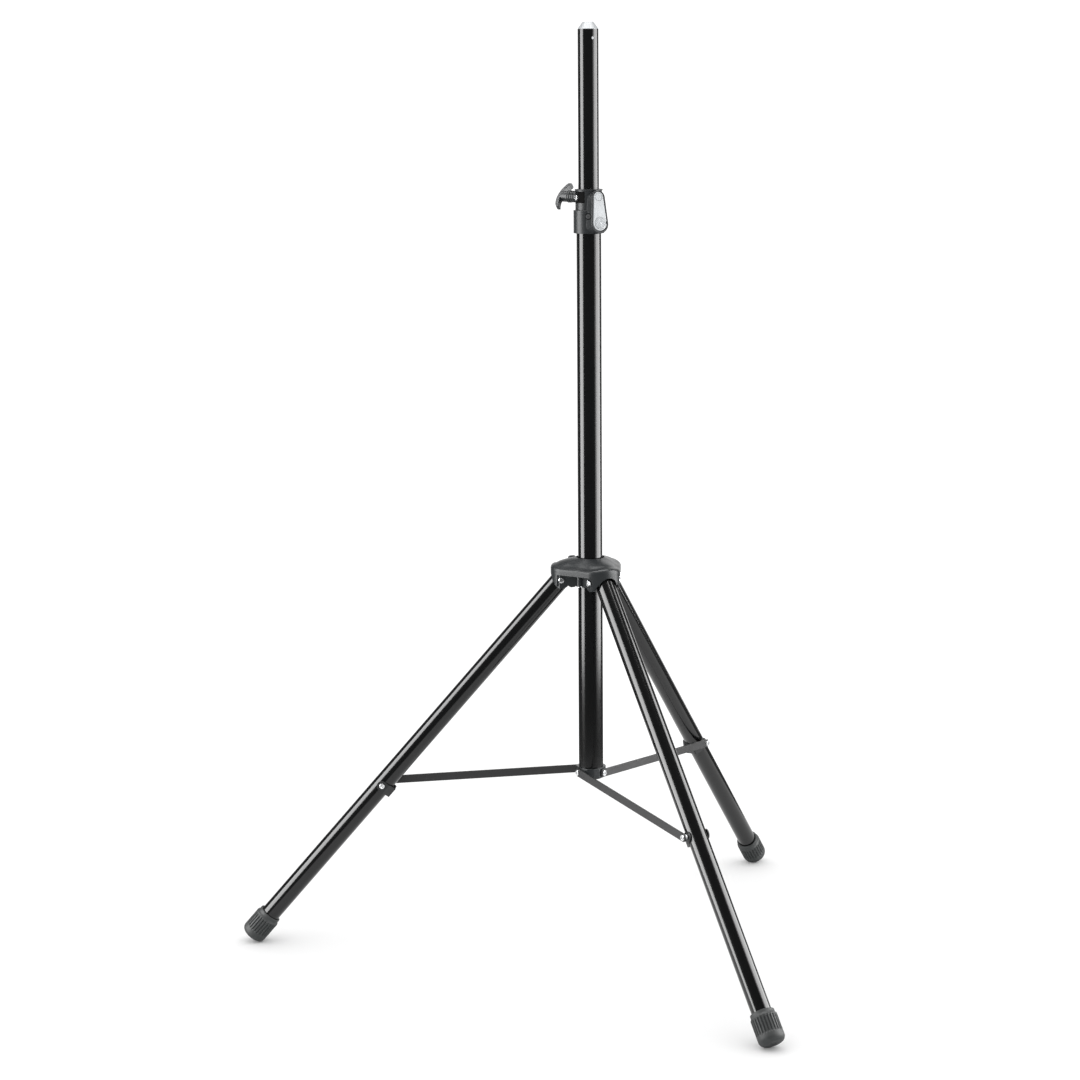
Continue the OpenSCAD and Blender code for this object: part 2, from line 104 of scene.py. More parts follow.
LEGS = (1, 2, 3)
LEG_AZ = {k: azimuth(pivot(f"leg_{k}_fold")) for k in LEGS}
PIVOT = pivot("leg_1_fold")
PIVOT_R = Vector((PIVOT.x, PIVOT.y)).length
PIVOT_Z = PIVOT.z
LEG_R = high("leg_tube_1").y
LEG_WALL = 1.5
RIVET_1 = centre("bracket_rivet_1")
LEG_RUN = Vector((abs(RIVET_1.x) - PIVOT_R, PIVOT_Z - RIVET_1.z))
LEG_ANGLE = math.atan2(LEG_RUN.x, LEG_RUN.y)
BRACKET_AT = LEG_RUN.length
LEG_OVER = 11.0
STRUT_Z = pivot("strut_1_swing").z
STRUT_END = centre("strut_rivet_1")
STRUT_RUN = Vector((abs(STRUT_END.x), STRUT_Z - STRUT_END.z))
STRUT_LEN = STRUT_RUN.length
STRUT_DROP = math.atan2(STRUT_RUN.y, STRUT_RUN.x)
STRUT_OUT = high("strut_1").y
STRUT_THICK = high("strut_1").y - low("strut_1").y
RIM_Z = high("hub_body").z
COVER_TOP = high("hub_cover").z
LEVER_AZ = math.radians(300)
CLAMP_AZ = azimuth(pivot("clamp_knob_turn"))
CLAMP_Z = pivot("clamp_knob_turn").z
HUB_KNOB_AZ = azimuth(pivot("hub_knob_turn"))


# ---------------------------------------------------------------- places

def turn(angle, axis):
    return Matrix.Rotation(angle, 4, axis)


def shift(x=0.0, y=0.0, z=0.0):
    return Matrix.Translation((x, y, z))


def radial(angle, z, out=0.0):
    """+Z outwards from the mast's axis at an azimuth and a height, +Y up."""
    return turn(angle, "Z") @ shift(out, 0, z) @ turn(math.pi / 2, "Z") @ turn(math.pi / 2, "X")


def along_leg(k, reach=0.0):
    """+Z down a leg, +Y along its pivot, +X towards the mast."""
    lean = turn(math.pi - LEG_ANGLE, "Y")
    return turn(LEG_AZ[k], "Z") @ shift(PIVOT_R, 0, PIVOT_Z) @ lean @ shift(0, 0, reach)


def along_strut(k, reach=0.0):
    """+Z along a strut from the collar outwards, +Y along its pivot."""
    lean = turn(math.pi / 2 + STRUT_DROP, "Y")
    return turn(LEG_AZ[k], "Z") @ shift(0, 0, STRUT_Z) @ lean @ shift(0, 0, reach)


def along_y(start):
    """+Z along the place's own +Y, from a start on that axis."""
    return shift(0, start, 0) @ turn(-math.pi / 2, "X")


LEVER_TILT = math.radians(7)
LEVER_SPAN = 43.5
LEVER_LOW_R = 12.5
LEVER_TOP_R = 8.5
LEVER_PIN_IN = -1.0
LEVER_PIN = pivot("lever_press")
LEVER_PIN_PLACE = radial(LEVER_AZ, LEVER_PIN.z, Vector((LEVER_PIN.x, LEVER_PIN.y)).length)
# the lever's face: X along its pin, Y up the face, +Z out of the face, from the thumb button's centre
ON_LEVER = LEVER_PIN_PLACE @ turn(-LEVER_TILT, "X") @ shift(0, -LEVER_SPAN, -LEVER_PIN_IN)


# ---------------------------------------------------------------- shapes

def rod(start, end, radius, end_radius=None, sides=ROUND):
    """A closed cylinder or cone along Z."""
    shape = bmesh.new()
    bmesh.ops.create_cone(
        shape, cap_ends=True, cap_tris=False, segments=sides, radius1=radius,
        radius2=radius if end_radius is None else end_radius, depth=end - start)
    bmesh.ops.translate(shape, vec=(0, 0, (start + end) / 2), verts=shape.verts)
    return shape


def brick(corner, opposite):
    """A box between two corners."""
    shape = bmesh.new()
    bmesh.ops.create_cube(shape, size=1)
    corner, opposite = Vector(corner), Vector(opposite)
    bmesh.ops.scale(shape, vec=opposite - corner, verts=shape.verts)
    bmesh.ops.translate(shape, vec=(corner + opposite) / 2, verts=shape.verts)
    return shape


def turned(outline, sides=ROUND):
    """Spins an outline of (radius, height) points about Z.

    The outline closes on itself unless it begins and ends on the axis.
    """
    shape = bmesh.new()
    points = [shape.verts.new((radius, 0, height)) for radius, height in outline]
    ends_on_axis = outline[0][0] == 0 and outline[-1][0] == 0
    chain = points if ends_on_axis else points + points[:1]
    lines = [shape.edges.new(pair) for pair in zip(chain, chain[1:])]
    bmesh.ops.spin(
        shape, geom=points + lines, cent=(0, 0, 0), axis=(0, 0, 1), dvec=(0, 0, 0),
        angle=math.tau, steps=sides, use_merge=True, use_normal_flip=False, use_duplicate=False)
    bmesh.ops.remove_doubles(shape, verts=shape.verts, dist=MM)
    bmesh.ops.recalc_face_normals(shape, faces=shape.faces)
    return shape


def ring(bore, radius, start, end, sides=ROUND):
    return turned([(bore, start), (radius, start), (radius, end), (bore, end)], sides)


def arc(x, z, radius, start, end, steps):
    """Points of an arc round (x, z), from one angle to another in degrees."""
    angles = [math.radians(start + (end - start) * i / steps) for i in range(steps + 1)]
    return [(x + radius * math.cos(a), z + radius * math.sin(a)) for a in angles]


def placed(shape, *places):
    for place in places:
        bmesh.ops.transform(shape, matrix=place, verts=shape.verts)
    return shape


def merged(*shapes):
    """One shape of several, which are used up."""
    whole = bmesh.new()
    for shape in shapes:
        mesh = bpy.data.meshes.new("part")
        shape.to_mesh(mesh)
        shape.free()
        whole.from_mesh(mesh)
        bpy.data.meshes.remove(mesh)
    return whole


def hulled(*shapes):
    """The tight skin round several shapes."""
    whole = merged(*shapes)
    bmesh.ops.delete(whole, geom=whole.edges, context="EDGES_FACES")
    skin = bmesh.ops.convex_hull(whole, input=whole.verts)
    inside = [item for item in skin["geom_interior"] if isinstance(item, bmesh.types.BMVert)]
    bmesh.ops.delete(whole, geom=inside, context="VERTS")
    bmesh.ops.dissolve_limit(
        whole, angle_limit=math.radians(1), verts=whole.verts, edges=whole.edges)
    bmesh.ops.recalc_face_normals(whole, faces=whole.faces)
    return whole


def soften(shape, width, segments=3, least=25):
    """Rounds every edge that is sharper than the least angle, in degrees."""
    sharp = [e for e in shape.edges if e.is_manifold and e.calc_face_angle() > math.radians(least)]
    bmesh.ops.bevel(
        shape, geom=sharp, offset=width, offset_type="OFFSET", segments=segments, profile=0.5,
        affect="EDGES", clamp_overlap=True, material=-1)
    return shape


def cut_flat(shape, point, normal):
    """Cuts away what lies beyond a plane and closes the cut."""
    cut = bmesh.ops.bisect_plane(
        shape, geom=shape.verts[:] + shape.edges[:] + shape.faces[:], dist=MM,
        plane_co=point, plane_no=normal, clear_outer=True)
    edges = [item for item in cut["geom_cut"] if isinstance(item, bmesh.types.BMEdge)]
    bmesh.ops.edgenet_fill(shape, edges=edges)
    bmesh.ops.recalc_face_normals(shape, faces=shape.faces)
    return shape


def loose(shape):
    """A throwaway object of a shape, for a boolean step."""
    mesh = bpy.data.meshes.new("loose")
    shape.to_mesh(mesh)
    shape.free()
    holder = bpy.data.objects.new("loose", mesh)
    bpy.context.scene.collection.objects.link(holder)
    return holder


def combined(operation, shape, others):
    """The shape after a boolean step with each of the others, which are used up."""
    holder = loose(shape)
    tools = [loose(other) for other in others]
    for tool in tools:
        step = holder.modifiers.new("step", "BOOLEAN")
        step.operation = operation
        step.solver = "EXACT"
        step.object = tool
    bpy.context.view_layer.update()
    result = bmesh.new()
    result.from_object(holder, bpy.context.evaluated_depsgraph_get())
    for used in [holder, *tools]:
        mesh = used.data
        bpy.data.objects.remove(used)
        bpy.data.meshes.remove(mesh)
    bmesh.ops.remove_doubles(result, verts=result.verts, dist=MM)
    return result


def carved(shape, *cutters):
    return combined("DIFFERENCE", shape, cutters)


def fused(shape, *others):
    return combined("UNION", shape, others)


def piece(name, shape, finish, body, replaced=(), sharp=32):
    """Makes a piece of a shape in millimetres, gives it its finish and lets it ride on its body."""
    bmesh.ops.scale(shape, vec=(MM, MM, MM), verts=shape.verts)
    mesh = bpy.data.meshes.new(name)
    shape.to_mesh(mesh)
    shape.free()
    mesh.shade_smooth()
    mesh.set_sharp_from_angle(angle=math.radians(sharp))
    mesh.materials.append(finish)
    made = bpy.data.objects.new(name, mesh)
    bpy.context.scene.collection.objects.link(made)
    even = made.modifiers.new("even_shading", "WEIGHTED_NORMAL")
    even.keep_sharp = True
    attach(made, body)
    if replaced:
        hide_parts(*replaced)


# ---------------------------------------------------------------- finishes

def node(tree, kind, inputs=(), **settings):
    """A shader node with its settings, and its inputs linked or set."""
    made = tree.nodes.new(kind)
    for key, value in settings.items():
        setattr(made, key, value)
    for key, value in dict(inputs).items():
        if isinstance(value, bpy.types.NodeSocket):
            tree.links.new(value, made.inputs[key])
        else:
            made.inputs[key].default_value = value
    return made


def new_finish(name, metal=0.0):
    """A material with its shader, and the object coordinates in metres that its patterns use."""
    material = bpy.data.materials.new(name)
    material.use_nodes = True
    tree = material.node_tree
    shader = tree.nodes["Principled BSDF"]
    shader.inputs["Metallic"].default_value = metal
    spot = node(tree, "ShaderNodeTexCoord").outputs["Object"]
    return material, tree, shader, spot


def noise(tree, spot, scale, detail=3.0, rough=0.55, squeeze=(1, 1, 1)):
    """A noise value of so many lumps a metre, squeezed along the axes."""
    mapped = node(tree, "ShaderNodeMapping", {"Vector": spot, "Scale": squeeze}).outputs["Vector"]
    inputs = {"Vector": mapped, "Scale": scale, "Detail": detail, "Roughness": rough}
    return node(tree, "ShaderNodeTexNoise", inputs).outputs["Fac"]


def spread(tree, value, least, most, start=0.3, end=0.7):
    """The value's middle range stretched between two limits."""
    inputs = {"Value": value, "From Min": start, "From Max": end, "To Min": least, "To Max": most}
    return node(tree, "ShaderNodeMapRange", inputs).outputs["Result"]


def blend_colour(tree, share, first, second):
    inputs = {"Factor": share, 6: (*first, 1), 7: (*second, 1)}
    return node(tree, "ShaderNodeMix", inputs, data_type="RGBA").outputs[2]


def shade(colour, factor):
    return tuple(part * factor for part in colour)


def bumps(tree, height, strength, depth, below=None):
    inputs = {"Height": height, "Strength": strength, "Distance": depth}
    if below is not None:
        inputs["Normal"] = below
    return node(tree, "ShaderNodeBump", inputs).outputs["Normal"]


def feed(tree, shader, **sockets):
    for name, output in sockets.items():
        tree.links.new(output, shader.inputs[name.replace("_", " ")])


def gloss_paint(colour):
    """Gloss black stove enamel on drawn tube: faint orange peel, draw lines and hazy patches."""
    material, tree, shader, spot = new_finish("gloss_paint")
    patches = noise(tree, spot, 9, 4)
    peel = noise(tree, spot, 420, 2)
    draw = noise(tree, spot, 900, 2, squeeze=(1, 1, 0.01))
    rough = spread(tree, patches, 0.13, 0.17)
    tone = blend_colour(tree, spread(tree, peel, 0, 1), shade(colour, 0.8), shade(colour, 1.3))
    coarse = bumps(tree, peel, 0.02, 0.0002)
    fine = bumps(tree, draw, 0.02, 0.0001, coarse)
    feed(tree, shader, Base_Color=tone, Roughness=rough, Normal=fine)
    return material


def moulded(name, colour, rough, grain=1500, depth=0.0002, strength=0.25, shine=0.5):
    """Moulded plastic with a fine eroded grain, flow patches and rubbed high spots."""
    material, tree, shader, spot = new_finish(name)
    shader.inputs["Specular IOR Level"].default_value = shine
    eroded = noise(tree, spot, grain, 4, 0.65)
    flow = noise(tree, spot, 22, 3)
    tone = blend_colour(tree, spread(tree, flow, 0, 1), shade(colour, 0.88), shade(colour, 1.12))
    uneven = spread(tree, eroded, rough - 0.05, rough + 0.07)
    feed(tree, shader, Base_Color=tone, Roughness=uneven,
         Normal=bumps(tree, eroded, strength, depth))
    return material


def satin_paint(name, colour, rough, scuff):
    """Satin paint on bar or plate: pebbly film with sparse lengthwise scuffs."""
    material, tree, shader, spot = new_finish(name)
    film = noise(tree, spot, 700, 3)
    cloud = noise(tree, spot, 30, 4)
    marks = noise(tree, spot, 160, 5, 0.7, (1, 1, 0.25))
    rubbed = spread(tree, marks, 0, 1, 0.64, 0.76)
    tone = blend_colour(tree, rubbed, colour, scuff)
    uneven = spread(tree, cloud, rough - 0.06, rough + 0.06)
    feed(tree, shader, Base_Color=tone, Roughness=uneven,
         Normal=bumps(tree, film, 0.12, 0.0002))
    return material


def rubber(colour):
    """Moulded rubber: matt, slightly dusty, with a fine sandy skin."""
    material, tree, shader, spot = new_finish("foot_rubber_skin")
    sand = noise(tree, spot, 1100, 3, 0.6)
    dust = noise(tree, spot, 60, 5, 0.7)
    tone = blend_colour(tree, spread(tree, dust, 0, 1, 0.35, 0.75), colour, shade(colour, 1.5))
    uneven = spread(tree, sand, 0.5, 0.68)
    feed(tree, shader, Base_Color=tone, Roughness=uneven,
         Normal=bumps(tree, sand, 0.25, 0.0002))
    return material


def plated(name, colour, rough):
    """Plated or turned metal: clouded shine with fine tool marks."""
    material, tree, shader, spot = new_finish(name, metal=1.0)
    cloud = noise(tree, spot, 180, 4)
    marks = noise(tree, spot, 2600, 2, 0.5, (1, 1, 0.15))
    tone = blend_colour(tree, spread(tree, cloud, 0, 1), shade(colour, 0.85), colour)
    uneven = spread(tree, cloud, rough - 0.06, rough + 0.08)
    feed(tree, shader, Base_Color=tone, Roughness=uneven,
         Normal=bumps(tree, marks, 0.08, 0.0001))
    return material


FINISHES = {}


def make_finishes():
    """Every finish of the stand, by the record's slot."""
    paints = bpy.context.scene.stand_paints
    FINISHES.update({
        "tube_paint": gloss_paint(tuple(paints.tube)),
        "housing_plastic": moulded("housing_skin", tuple(paints.plastic), 0.34, 1500, 0.0001, 0.15, 0.3),
        "knob_plastic": moulded("knob_skin", tuple(paints.knob), 0.42, 1300),
        "bracket_paint": satin_paint("bracket_film", tuple(paints.bracket), 0.4, (0.06, 0.06, 0.062)),
        "strut_paint": satin_paint("strut_film", tuple(paints.strut), 0.42, (0.09, 0.09, 0.092)),
        "foot_rubber": rubber(tuple(paints.rubber)),
        "lever_plastic": moulded("lever_skin", tuple(paints.lever), 0.33, 1200, 0.0001, 0.12),
        # bush plastic: near black and almost without shine. Partly the bushes' own dark plastic, partly painted
        # shade, so the window beside the clamp knob's boss reads as a dark recess
        "bush_plastic": moulded("bush_skin_and_window_shade", tuple(paints.bush), 0.7, shine=0.03),
        "zinc_steel": plated("zinc_plate", tuple(paints.zinc), 0.24),
        "plain_steel": plated("plain_steel_skin", tuple(paints.steel), 0.32),
        "insert_brass": plated("turned_brass", tuple(paints.brass), 0.28),
    })


def finish_node(name):
    """Gives a frame node the finish of its own material slot."""
    slots = {part["node"]: part["material_slot"] for part in frame["record"]["subparts"]}
    frame["nodes"][name].data.materials[0] = FINISHES[slots[name]]


# ---------------------------------------------------------------- settings

def colour_setting(name, description, default):
    return FloatVectorProperty(
        name=name, description=description, default=default, subtype="COLOR", min=0, max=1)


def length_setting(name, description, default):
    """A length in millimetres."""
    return FloatProperty(name=name, description=description, default=default, min=0)


class StandPaints(PropertyGroup):
    """Colours of the stand's materials"""
    tube: colour_setting("Tube", "Gloss paint of the pole, mast and legs", (0.0026, 0.0028, 0.003))
    plastic: colour_setting("Housing", "Plastic of the housing, hub and collar", (0.024, 0.027, 0.029))
    knob: colour_setting("Knob", "Plastic of the wing knobs", (0.022, 0.025, 0.027))
    bracket: colour_setting("Bracket", "Paint of the leg brackets", (0.014, 0.015, 0.016))
    strut: colour_setting("Strut", "Paint of the struts", (0.02, 0.02, 0.021))
    rubber: colour_setting("Foot", "Rubber of the feet", (0.022, 0.025, 0.025))
    lever: colour_setting("Lever", "Plastic of the lever and the pole's plug", (0.5, 0.52, 0.535))
    # near-black bush colour: the bushes' own dark plastic, darkened further to paint the shade seen through the
    # housing's window
    bush: colour_setting("Bush", "Plastic of the bushes and plugs", (0.006, 0.006, 0.006))
    zinc: colour_setting("Zinc", "Plated rivets, bolts and nuts", (0.9, 0.91, 0.92))
    steel: colour_setting("Steel", "Screws, pins and springs", (0.6, 0.61, 0.62))
    brass: colour_setting("Brass", "Threaded inserts", (0.75, 0.57, 0.28))


class StandSizes(PropertyGroup):
    """Sizes of the details that the frame leaves plain, in millimetres"""
    edge: length_setting("Edge", "Rounding of moulded edges", 0.8)
    tube_edge: length_setting("Tube edge", "Rounding of a tube's cut edges", 0.3)
    flutes: IntProperty(name="Flutes", description="Flutes round a foot cap", default=26, min=8)
    flute_depth: length_setting("Flute depth", "Depth of a foot cap's flutes", 1.7)
    scoop: length_setting("Scoop", "Depth of the hub cover's saddles at its edge", 11.0)
    rim_roll: length_setting("Rim roll", "Rounding of the hub cover's rim over the legs", 8.0)
    dome: length_setting("Dome", "Radius of the hub cover's dome", 158.0)


class StandStudio(PropertyGroup):
    """Floor, lights and camera"""
    camera_at: FloatVectorProperty(
        name="Camera place", description="Where the camera stands", default=(0.1523, -4.6206, 1.5202),
        subtype="TRANSLATION", unit="LENGTH")
    heading: FloatProperty(
        name="Heading", description="Direction that the camera looks in, from +X",
        default=math.radians(92.95), subtype="ANGLE")
    pitch: FloatProperty(
        name="Pitch", description="Camera's tilt above the horizon",
        default=math.radians(-9.83), subtype="ANGLE")
    roll: FloatProperty(
        name="Roll", description="Camera's turn about its view", default=math.radians(-0.423),
        subtype="ANGLE")
    lens: FloatProperty(name="Lens", description="Focal length in millimetres", default=91.46, min=10)
    left_glow: FloatProperty(
        name="Left light", description="Brightness of the left softbox", default=10.5, min=0)
    right_glow: FloatProperty(
        name="Right light", description="Brightness of the right softbox", default=9, min=0)
    back_glow: FloatProperty(
        name="Back light", description="Brightness of the pale backdrop", default=1.2, min=0)
    top_glow: FloatProperty(
        name="Top light", description="Brightness of the overhead softbox", default=9, min=0)
    tent: FloatProperty(
        name="Tent", description="Brightness of the white surroundings, which light the stand softly",
        default=1.2, min=0)
    room: FloatProperty(
        name="Room", description="Brightness of the dim room that gloss mirrors", default=0.12, min=0)
    floor: colour_setting("Floor", "Pale floor", (0.93, 0.93, 0.93))


# ---------------------------------------------------------------- studio

# the softboxes beside the stand, in metres
BOX_AWAY = 2.2
BOX_HEIGHT = 2.6
BOX_MIDDLE = 1.32


class STAND_OT_studio(Operator):
    """Sets the floor, the tent, the softboxes and the camera"""
    bl_idname = "stand.studio"
    bl_label = "Studio"

    def execute(self, context):
        studio = context.scene.stand_studio
        context.scene.view_settings.view_transform = "Standard"
        self.floor(studio)
        self.tent(context.scene, studio)
        self.softbox("left_softbox", 195, BOX_AWAY, BOX_MIDDLE, (1.43, BOX_HEIGHT), studio.left_glow)
        self.softbox("right_softbox", 362, BOX_AWAY, BOX_MIDDLE, (1.85, BOX_HEIGHT), studio.right_glow)
        self.softbox("right_wing", 333, BOX_AWAY, BOX_MIDDLE, (0.6, BOX_HEIGHT), studio.right_glow / 3)
        self.softbox("backdrop_glow", 92, 2.6, 1.3, (3.4, BOX_HEIGHT), studio.back_glow)
        top = self.softbox("overhead_softbox", 0, 0, 3.2, (2.4, 1.6), studio.top_glow)
        top.rotation_euler = (0, 0, 0)
        self.camera(context.scene, studio)
        return {"FINISHED"}

    def floor(self, studio):
        shape = bmesh.new()
        bmesh.ops.create_circle(shape, cap_ends=True, radius=1.25, segments=96)
        mesh = bpy.data.meshes.new("floor")
        shape.to_mesh(mesh)
        shape.free()
        material, tree, shader, spot = new_finish("floor_paper")
        cloud = noise(tree, spot, 3, 3)
        pale = tuple(studio.floor)
        feed(tree, shader, Base_Color=blend_colour(tree, cloud, shade(pale, 0.99), pale))
        shader.inputs["Roughness"].default_value = 0.9
        shader.inputs["Specular IOR Level"].default_value = 0.1
        mesh.materials.append(material)
        floor = bpy.data.objects.new("floor", mesh)
        bpy.context.scene.collection.objects.link(floor)

    def tent(self, scene, studio):
        """A white surround that lights the stand softly, and that gloss mirrors as a dim room."""
        world = bpy.data.worlds.new("tent")
        world.use_nodes = True
        tree = world.node_tree
        rays = node(tree, "ShaderNodeLightPath")
        inputs = {"Value": rays.outputs["Is Glossy Ray"], "To Min": studio.tent, "To Max": studio.room}
        strength = node(tree, "ShaderNodeMapRange", inputs).outputs["Result"]
        background = tree.nodes["Background"]
        background.inputs["Color"].default_value = (1, 1, 1, 1)
        tree.links.new(strength, background.inputs["Strength"])
        scene.world = world

    def softbox(self, name, degrees, distance, height, size, glow):
        """A lamp panel that faces the mast and shows only in gloss, its glow times as bright as white."""
        light = bpy.data.lights.new(name, "AREA")
        light.shape = "RECTANGLE"
        light.size, light.size_y = size
        light.energy = glow * math.pi * size[0] * size[1]
        box = bpy.data.objects.new(name, light)
        angle = math.radians(degrees)
        box.location = (distance * math.cos(angle), distance * math.sin(angle), height)
        box.rotation_euler = (math.pi / 2, 0, angle + math.pi / 2)
        box.visible_camera = False
        box.visible_diffuse = False
        bpy.context.scene.collection.objects.link(box)
        return box

    def camera(self, scene, studio):
        data = bpy.data.cameras.new("camera")
        data.lens = studio.lens
        data.sensor_width = 36
        camera = bpy.data.objects.new("camera", data)
        bpy.context.scene.collection.objects.link(camera)
        look = turn(studio.heading - math.pi / 2, "Z") @ turn(math.pi / 2 + studio.pitch, "X")
        camera.matrix_world = shift(*studio.camera_at) @ look @ turn(studio.roll, "Z")
        scene.camera = camera


# ---------------------------------------------------------------- tubes

PEG_R = 2.6
PEG_DOWN = 14.5


def tube(radius, wall, start, end, edge):
    """A tube with rounded cut edges."""
    return soften(ring(radius - wall, radius, start, end, 128), edge)


class STAND_OT_mast_and_pole(Operator):
    """Builds the mast, and the pole with its locking holes and the ring that marks its lowest setting"""
    bl_idname = "stand.mast_and_pole"
    bl_label = "Mast and pole"

    mark_up: length_setting("Mark", "Height of the marking ring above the housing", 2)
    mark_width: length_setting("Mark width", "Width of the marking ring", 0.8)
    mark_depth: length_setting("Mark depth", "Depth of the marking ring", 0.25)
    hole_first: length_setting("First hole", "Lowest locking hole above the pole's end", 130)
    hole_pitch: length_setting("Hole pitch", "Distance between the locking holes", 100)
    hole_radius: length_setting("Hole radius", "Radius of a locking hole", 4)
    holes: IntProperty(name="Holes", description="Locking holes in the pole", default=6, min=0)

    def execute(self, context):
        edge = context.scene.stand_sizes.tube_edge
        mast = tube(MAST_R, TUBE_WALL, MAST_LOW, MAST_TOP, edge)
        piece("mast", mast, FINISHES["tube_paint"], "mast", ["mast_tube"])

        bore = POLE_R - TUBE_WALL
        mark = HOUSING_TOP + self.mark_up
        pole = soften(turned([
            (bore, POLE_LOW), (POLE_R, POLE_LOW), (POLE_R, mark), (POLE_R - self.mark_depth, mark),
            (POLE_R - self.mark_depth, mark + self.mark_width), (POLE_R, mark + self.mark_width),
            (POLE_R, POLE_RIM), (bore, POLE_RIM)], 128), edge / 4)
        heights = [POLE_LOW + self.hole_first + i * self.hole_pitch for i in range(self.holes)]
        drills = [placed(rod(5, 30, self.hole_radius, sides=32), radial(LEVER_AZ, z)) for z in heights]
        peg = placed(rod(5, 30, PEG_R, sides=32), radial(LEVER_AZ, POLE_RIM - PEG_DOWN))
        pole = carved(pole, merged(*drills, peg))
        piece("pole", pole, FINISHES["tube_paint"], "pole", ["pole_tube"])
        return {"FINISHED"}


class STAND_OT_pole_plug(Operator):
    """Builds the tapered plug in the pole's top, with its snap peg"""
    bl_idname = "stand.pole_plug"
    bl_label = "Pole plug"

    stem: length_setting("Stem", "Depth of the plug's stem in the pole", 22)
    tip_radius: length_setting("Tip radius", "Radius of the plug's flat tip", 9)

    def execute(self, context):
        top = high("pole_plug").z
        bore = POLE_R - TUBE_WALL
        plug = soften(turned([
            (0, POLE_RIM - self.stem), (bore, POLE_RIM - self.stem), (bore, POLE_RIM + 0.05),
            (POLE_R - 0.1, POLE_RIM + 0.05), (POLE_R - 0.1, POLE_RIM + 0.9),
            (self.tip_radius, top), (5, top), (4, top - 1), (0, top - 1)]), 0.6)
        peg = soften(rod(bore - 2, POLE_R - 0.4, PEG_R - 0.1, sides=32), 0.3)
        shape = merged(plug, placed(peg, radial(LEVER_AZ, POLE_RIM - PEG_DOWN)))
        piece("pole_end", shape, FINISHES["lever_plastic"], "pole", ["pole_plug"])
        return {"FINISHED"}


# ---------------------------------------------------------------- clamp housing

SLEEVE_R = 25.75
SLEEVE_H = 38.4
COLLAR_R = 22.5
FLANGE_R = 23.5
FLANGE_H = 2.0
HOUSING_H = 73.2
BUSH_R = high("clamp_bush").x
BLOCK_LOW_R = 16
BLOCK_TOP_R = 12.5
POCKET_EDGE = 1.0
PIN_WAY_R = 4.6
WINDOW_AZ = math.radians(227)
CROSS_PIN_AZ = math.radians(207)


def teardrop(low_r, low_y, top_r, top_y, start, end):
    """A round-ended plate on the lever's face, wide below and narrow above."""
    low_end = placed(rod(start, end, low_r), shift(0, low_y))
    return hulled(low_end, placed(rod(start, end, top_r), shift(0, top_y)))


class STAND_OT_clamp_housing(Operator):
    """Builds the clamp housing: sleeve, collar, lever block, knob boss and the window beside the boss"""
    bl_idname = "stand.clamp_housing"
    bl_label = "Clamp housing"

    def execute(self, context):
        edge = context.scene.stand_sizes.edge
        base = HOUSING_TOP - HOUSING_H
        step = base + SLEEVE_H
        barrel = soften(turned([
            (0, base), (SLEEVE_R, base), (SLEEVE_R, step), (COLLAR_R, step),
            (COLLAR_R, HOUSING_TOP - FLANGE_H), (FLANGE_R, HOUSING_TOP - FLANGE_H),
            (FLANGE_R, HOUSING_TOP), (0, HOUSING_TOP)]), edge * 0.6)
        block = teardrop(BLOCK_LOW_R, -1, BLOCK_TOP_R, LEVER_SPAN - 1.5, -20, 2)
        block = placed(soften(block, edge * 1.6, 4), ON_LEVER)
        boss = soften(turned([
            (0, 16), (9, 16), (9, 26), (9.8, 26), (9.8, 28), (9, 28), (9, 30), (9.8, 30),
            (9.8, 33), (0, 33)]), 0.4)
        boss = placed(boss, radial(CLAMP_AZ, CLAMP_Z))
        whole = fused(barrel, block, boss)
        bore = merged(rod(base - 5, MAST_TOP, MAST_R), rod(MAST_TOP - 1, HOUSING_TOP + 5, BUSH_R))
        pocket = placed(teardrop(
            LEVER_LOW_R + POCKET_EDGE, 0, LEVER_TOP_R + POCKET_EDGE, LEVER_SPAN, -6, 20), ON_LEVER)
        pin_ends = [placed(rod(MAST_R - 2, 38, PIN_WAY_R, sides=48), shift(0, y)) for y in (0, -5)]
        pin_way = placed(hulled(*pin_ends), radial(LEVER_AZ, ON_LEVER.translation.z))
        sinks = merged(*[self.sink(math.radians(side)) for side in (90, 270)])
        screw_way = placed(rod(5, 40, 5, sides=48), radial(CLAMP_AZ, CLAMP_Z))
        whole = carved(whole, bore, pocket, pin_way, sinks, screw_way, self.window())
        piece("clamp_casing", whole, FINISHES["housing_plastic"],
              "mast", ["clamp_housing"])
        self.cross_pin()
        for name in ("clamp_bush", "clamp_insert", "housing_screws", "lever_pin", "lever_spring"):
            finish_node(name)
        return {"FINISHED"}

    def sink(self, angle):
        """The countersunk way of a housing screw."""
        outline = [(0, 10), (2.2, 10), (2.2, SLEEVE_R - 3), (4.4, SLEEVE_R - 2), (5.8, SLEEVE_R),
                   (5.8, 40), (0, 40)]
        return placed(turned(outline, 48), radial(angle, SCREW_Z))

    def window(self):
        """The window beside the knob's boss, through to the bush."""
        opening = soften(brick((-10.5, -9.5, 0), (10.5, 9.5, 30)), 0.5, 2)
        depth = (BUSH_R + 0.2) * math.cos(math.radians(28))
        return placed(opening, radial(WINDOW_AZ, CLAMP_Z, depth))

    def cross_pin(self):
        """The hollow steel pin in the window."""
        pin = soften(ring(2.6, 4.6, 0, 5.5, 48), 0.5)
        shape = placed(pin, radial(CROSS_PIN_AZ, CLAMP_Z - 1, 18.5))
        piece("clamp_cross_pin", shape, FINISHES["zinc_steel"], "mast")


# ---------------------------------------------------------------- safety lever

BUTTON_R = 9.5
BUTTON_FLOOR = 1.0
LEVER_HALF = 2.5
SPRING_WIDTH = 4.4


